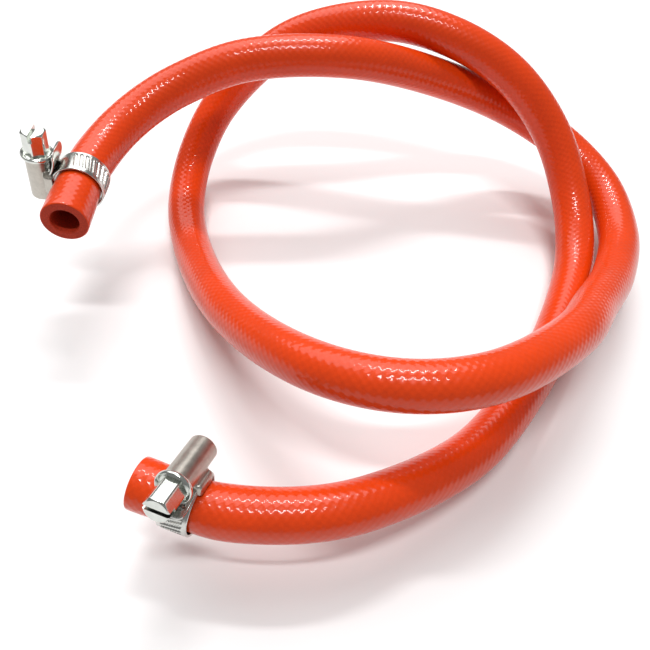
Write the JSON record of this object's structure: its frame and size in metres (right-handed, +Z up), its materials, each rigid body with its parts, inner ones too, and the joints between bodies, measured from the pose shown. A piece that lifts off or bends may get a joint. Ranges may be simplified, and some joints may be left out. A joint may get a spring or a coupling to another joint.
{
  "type": "gas hose with worm-drive clips",
  "caption": "Flexible gas hose lying in a loose open loop, with a steel worm-drive clip around the hose near each open end.",
  "frame": {"origin": "centre of the outer box on the floor under the hose", "axes": "+Z up from the floor, raised hose end A opens towards -Y, hose end B opens towards -X"},
  "size_m": [0.2294, 0.2039, 0.0782],
  "materials": {
    "hose": "glossy orange-red hose cover with faint ripples of the braid below",
    "band": "bright steel band with pressed thread slots",
    "housing": "satin pressed steel",
    "screw": "bright zinc plating"
  },
  "bodies": {
    "hose_and_clips": {"hose": "hose", "band_a": "band", "housing_a": "housing", "band_b": "band", "housing_b": "housing"},
    "clip_screw_a": {"screw_a": "screw"},
    "clip_screw_b": {"screw_b": "screw"}
  },
  "joints": [
    {"name": "screw_a_turn", "type": "hinge", "parent": "hose_and_clips", "child": "clip_screw_a", "pos_m": [-0.10952, 0.0119, 0.05078], "axis": [0.1392, -0.0087, 0.9902], "continuous": true},
    {"name": "screw_b_turn", "type": "hinge", "parent": "hose_and_clips", "child": "clip_screw_b", "pos_m": [-0.04868, -0.08506, 0.03483], "axis": [-0.3076, -0.8815, 0.3584], "continuous": true}
  ]
}
